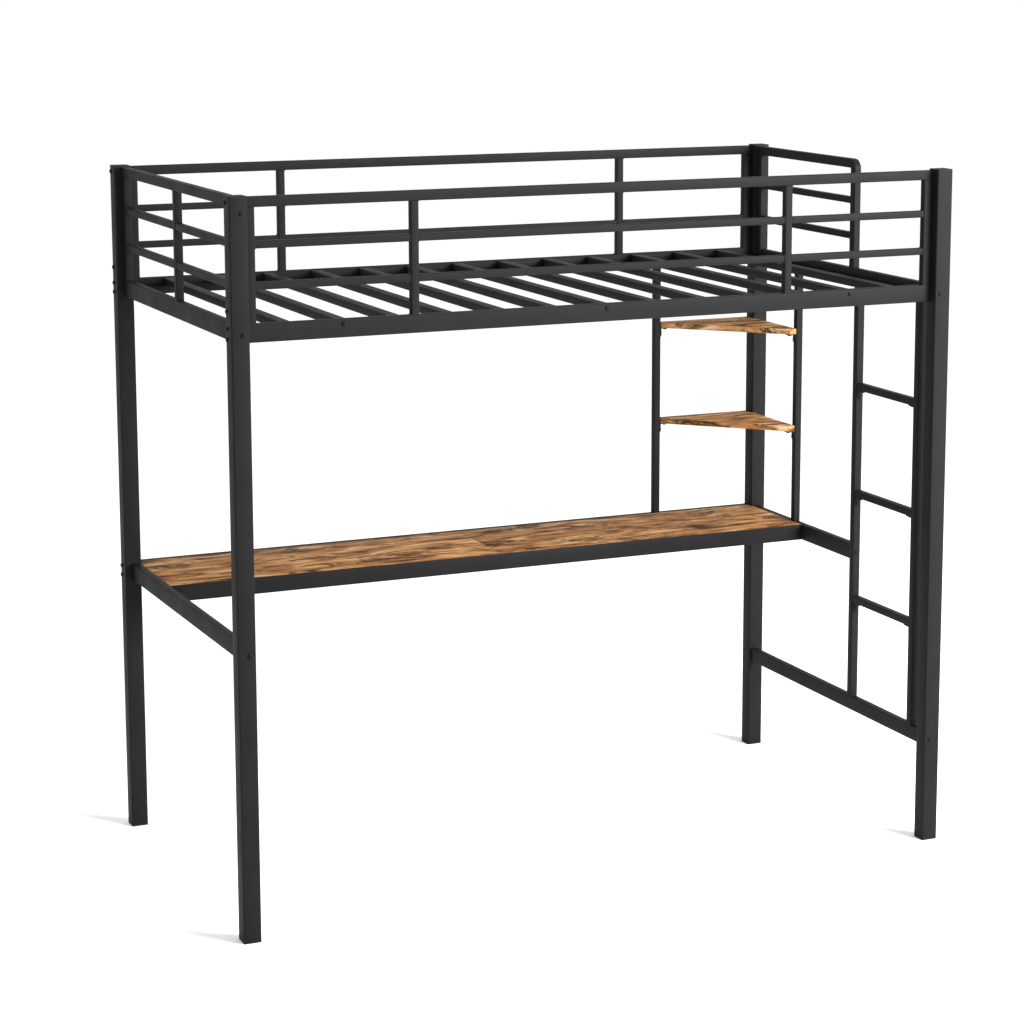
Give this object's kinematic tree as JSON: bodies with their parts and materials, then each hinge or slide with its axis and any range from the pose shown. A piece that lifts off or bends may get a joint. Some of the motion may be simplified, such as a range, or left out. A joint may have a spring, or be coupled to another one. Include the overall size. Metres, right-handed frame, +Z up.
{
  "type": "loft bed with desk",
  "caption": "Full-height loft bed of square steel tube with guard rails, an end ladder, a full-width desk below and corner shelves over the desk.",
  "frame": {"origin": "centre of the footprint, on the floor", "axes": "+X along the bed towards the ladder end, -Y towards the front where one sits at the desk, +Z up"},
  "size_m": [1.9856, 1.0556, 1.831],
  "materials": {
    "steel_frame": "satin charcoal powder coat",
    "wood_boards": "matt rustic brown wood-grain laminate on particle board",
    "plastic_caps": "moulded black polyethylene",
    "black_fasteners": "black oxide steel"
  },
  "bodies": {
    "root": {"post_front_left": "steel_frame", "post_front_right": "steel_frame", "post_rear_left": "steel_frame", "post_rear_right": "steel_frame", "front_bed_rail": "steel_frame", "front_top_rail": "steel_frame", "front_end_uprights": "steel_frame", "front_uprights": "steel_frame", "front_mid_rails": "steel_frame", "rear_bed_rail": "steel_frame", "rear_top_rail": "steel_frame", "rear_end_uprights": "steel_frame", "rear_uprights": "steel_frame", "rear_mid_rails": "steel_frame", "left_bed_rail": "steel_frame", "left_top_rail": "steel_frame", "left_end_uprights": "steel_frame", "left_centre_upright": "steel_frame", "left_mid_rails": "steel_frame", "right_bed_rail": "steel_frame", "right_guard_hoop": "steel_frame", "right_end_upright": "steel_frame", "right_mid_rails": "steel_frame", "bed_slats": "steel_frame", "slat_ledge_front": "steel_frame", "slat_ledge_rear": "steel_frame", "mattress_ledge_left": "steel_frame", "mattress_ledge_right": "steel_frame", "ladder_rear_tube": "steel_frame", "ladder_front_tube": "steel_frame", "ladder_rungs": "steel_frame", "rung_brackets": "steel_frame", "base_cross_rail": "steel_frame", "desk_front_rail": "steel_frame", "desk_rear_rail": "steel_frame", "desk_left_rail": "steel_frame", "desk_right_rail": "steel_frame", "desk_supports": "steel_frame", "shelf_rear_leg": "steel_frame", "shelf_side_leg": "steel_frame", "shelf_brackets": "steel_frame", "post_top_caps": "plastic_caps", "post_foot_caps": "plastic_caps", "desk_board_left": "wood_boards", "desk_board_right": "wood_boards", "shelf_upper": "wood_boards", "shelf_lower": "wood_boards", "slat_inserts": "black_fasteners", "slat_bolts": "black_fasteners", "rung_bolts": "black_fasteners", "desk_screws": "black_fasteners", "shelf_bolts": "black_fasteners", "side_frame_bolts": "black_fasteners", "end_frame_bolts": "black_fasteners", "desk_ladder_bolt": "black_fasteners", "side_rail_inserts": "black_fasteners", "end_rail_inserts": "black_fasteners", "upright_inserts": "black_fasteners"}
  },
  "joints": []
}
